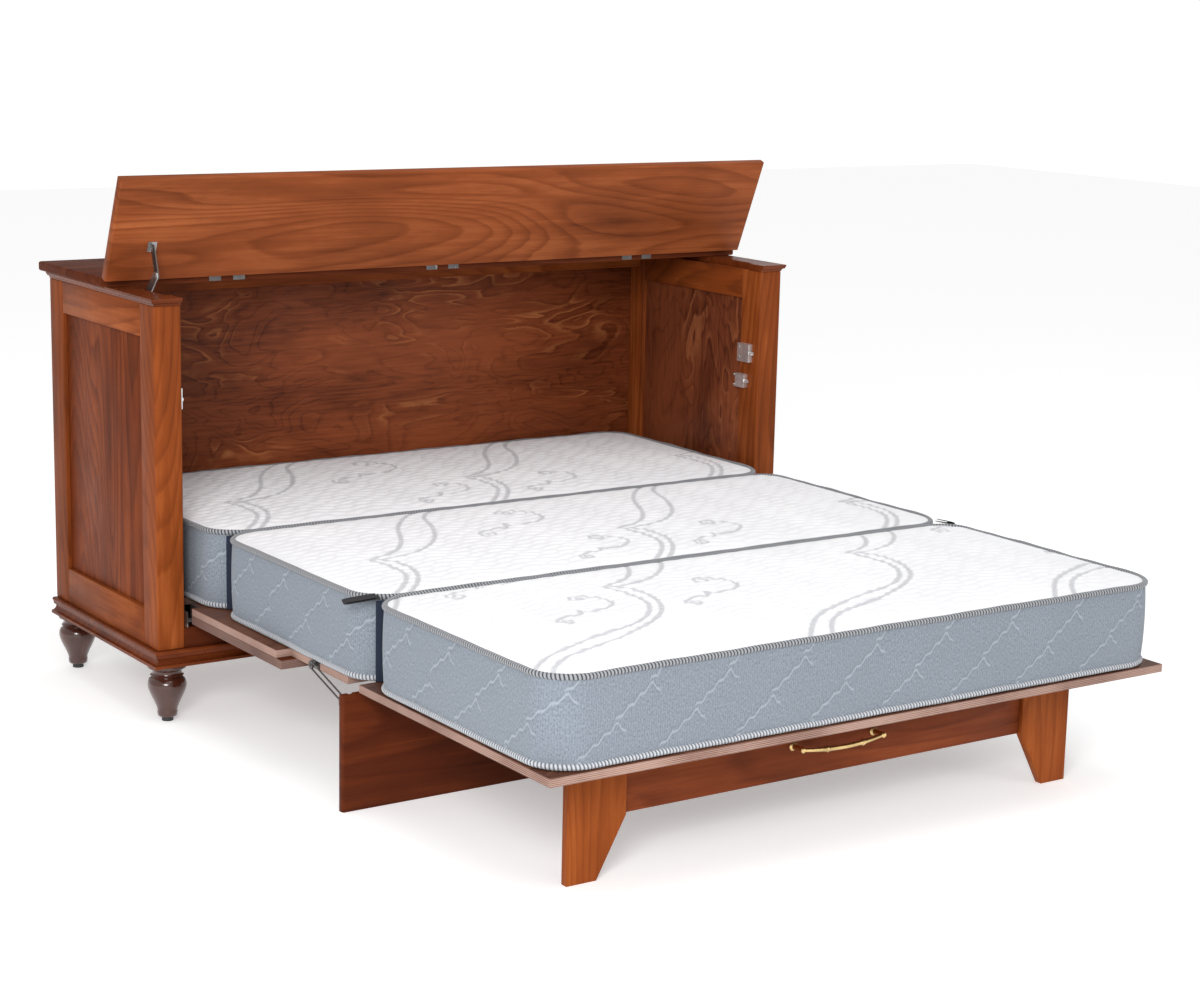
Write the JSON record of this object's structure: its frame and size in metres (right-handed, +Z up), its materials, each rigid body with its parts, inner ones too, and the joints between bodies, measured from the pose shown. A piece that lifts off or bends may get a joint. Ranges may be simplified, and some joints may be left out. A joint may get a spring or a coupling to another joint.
{
  "type": "cabinet bed",
  "caption": "Wooden chest on turned feet with a hinged lid; its front folds down into a deck with a fold-out foot panel, tapered legs and a three-section mattress.",
  "frame": {"origin": "centre of the bounding box in plan, on the floor, with the bed opened out", "axes": "+X across the cabinet, symmetry axis; -Y towards the foot of the bed; +Z up"},
  "size_m": [1.76, 2.041, 1.2099],
  "materials": {
    "case_wood": "satin reddish-brown cherry stain",
    "top_wood": "satin dark cherry stain",
    "front_wood": "satin dark cherry stain",
    "leg_wood": "satin cherry stain",
    "feet_wood": "gloss dark cherry stain",
    "interior_plywood": "stained plywood",
    "deck_plywood": "raw plywood edges, stained faces",
    "mattress": "quilted knit top, woven border",
    "brass": "satin brass",
    "catch_nickel": "nickel plated",
    "hinge_steel": "zinc plated steel",
    "dark_steel": "dark painted steel",
    "glide_plastic": "matt black"
  },
  "bodies": {
    "cabinet": {"back_left_foot": "feet_wood", "back_panel": "interior_plywood", "back_right_foot": "feet_wood", "back_top_rail": "case_wood", "base_moulding": "case_wood", "bottom_board": "deck_plywood", "catch_housings": "catch_nickel", "deck_cleats": "deck_plywood", "deck_pivot_plates": "dark_steel", "foot_glides": "glide_plastic", "front_left_foot": "feet_wood", "front_rail": "front_wood", "front_right_foot": "feet_wood", "inner_deck": "deck_plywood", "inner_side_panels": "interior_plywood", "left_back_post": "case_wood", "left_front_post": "case_wood", "left_outer_panel": "case_wood", "left_side_rails": "case_wood", "lid_hinge_fixed_leaves": "hinge_steel", "mattress_head": "mattress", "rear_top": "top_wood", "right_back_post": "case_wood", "right_front_post": "case_wood", "right_outer_panel": "case_wood", "right_side_rails": "case_wood", "stay_side_bracket": "dark_steel", "top_moulding": "case_wood"},
    "lid_leaf": {"lid": "top_wood", "lid_hinge_lid_leaves": "hinge_steel", "stay_lid_bracket": "dark_steel"},
    "deck": {"deck_board": "deck_plywood", "deck_front_board": "front_wood", "deck_pivot_brackets": "dark_steel", "fold_hinge_deck_leaves": "hinge_steel", "kick_hinge_deck_leaves": "hinge_steel", "kick_stay_brackets": "dark_steel", "mattress_middle": "mattress"},
    "kick": {"kick_panel": "front_wood", "kick_hinge_panel_leaves": "hinge_steel", "kick_stay_studs": "dark_steel"},
    "foot_end": {"foot_panel": "deck_plywood", "fold_hinge_foot_leaves": "hinge_steel", "leg_hinge_panel_leaves": "hinge_steel", "mattress_foot": "mattress"},
    "leg_frame": {"left_leg": "leg_wood", "right_leg": "leg_wood", "apron": "leg_wood", "leg_hinge_apron_leaves": "hinge_steel", "handle": "brass"},
    "stay_lower": {"stay_lower_arm": "dark_steel"},
    "stay_upper": {"stay_upper_arm": "dark_steel"},
    "left_kick_stay_loop": {"left_kick_stay": "dark_steel"},
    "left_upper_catch_plunger": {"left_upper_plunger": "catch_nickel"},
    "left_lower_catch_plunger": {"left_lower_plunger": "catch_nickel"},
    "right_kick_stay_loop": {"right_kick_stay": "dark_steel"},
    "right_upper_catch_plunger": {"right_upper_plunger": "catch_nickel"},
    "right_lower_catch_plunger": {"right_lower_plunger": "catch_nickel"}
  },
  "joints": [
    {"name": "lid_hinge", "type": "hinge", "parent": "cabinet", "child": "lid_leaf", "pos_m": [0, 0.6565, 0.979], "axis": [1, 0, 0], "range_deg": [0, 67]},
    {"name": "deck_raise", "type": "hinge", "parent": "cabinet", "child": "deck", "pos_m": [0, 0.4239, 0.2344], "axis": [-1, 0, 0], "range_deg": [0, 90], "deforming": ["mattress_head", "mattress_middle"]},
    {"name": "kick_swing", "type": "hinge", "parent": "deck", "child": "kick", "pos_m": [0, -0.28975, 0.24725], "axis": [1, 0, 0], "range_deg": [0, 90]},
    {"name": "foot_fold", "type": "hinge", "parent": "deck", "child": "foot_end", "pos_m": [0, -0.293, 0.27], "axis": [-1, 0, 0], "range_deg": [0, 180], "deforming": ["mattress_foot"]},
    {"name": "leg_fold", "type": "hinge", "parent": "foot_end", "child": "leg_frame", "pos_m": [0, -0.8535, 0.248], "axis": [1, 0, 0], "range_deg": [0, 90]},
    {"name": "stay_lower_pivot", "type": "hinge", "parent": "cabinet", "child": "stay_lower", "pos_m": [0, 0.6395, 0.92], "axis": [1, 0, 0], "range_deg": [0, 67.5]},
    {"name": "stay_upper_pivot", "type": "hinge", "parent": "lid_leaf", "child": "stay_upper", "pos_m": [0, 0.59337, 1.04454], "axis": [1, 0, 0], "range_deg": [-66.47, 0]},
    {"name": "left_kick_stay_pivot", "type": "hinge", "parent": "deck", "child": "left_kick_stay_loop", "pos_m": [0, -0.1265, 0.2625], "axis": [-1, 0, 0], "range_deg": [0, 18.19]},
    {"name": "left_upper_catch_push", "type": "slide", "parent": "cabinet", "child": "left_upper_catch_plunger", "axis": [0, 1, 0], "range_m": [0, 0.006], "stiffness_N_per_m": 800},
    {"name": "left_lower_catch_push", "type": "slide", "parent": "cabinet", "child": "left_lower_catch_plunger", "axis": [0, 1, 0], "range_m": [0, 0.006], "stiffness_N_per_m": 800},
    {"name": "right_kick_stay_pivot", "type": "hinge", "parent": "deck", "child": "right_kick_stay_loop", "pos_m": [0, -0.1265, 0.2625], "axis": [-1, 0, 0], "range_deg": [0, 18.19]},
    {"name": "right_upper_catch_push", "type": "slide", "parent": "cabinet", "child": "right_upper_catch_plunger", "axis": [0, 1, 0], "range_m": [0, 0.006], "stiffness_N_per_m": 800},
    {"name": "right_lower_catch_push", "type": "slide", "parent": "cabinet", "child": "right_lower_catch_plunger", "axis": [0, 1, 0], "range_m": [0, 0.006], "stiffness_N_per_m": 800}
  ],
  "couplings": [
    {"joint": "kick_swing", "follows": "deck_raise", "ratio": 1},
    {"joint": "stay_lower_pivot", "follows": "lid_hinge", "ratio": 1},
    {"joint": "stay_upper_pivot", "follows": "lid_hinge", "ratio": -0.9846},
    {"joint": "left_kick_stay_pivot", "follows": "deck_raise", "ratio": 0.1988},
    {"joint": "right_kick_stay_pivot", "follows": "deck_raise", "ratio": 0.1988}
  ]
}
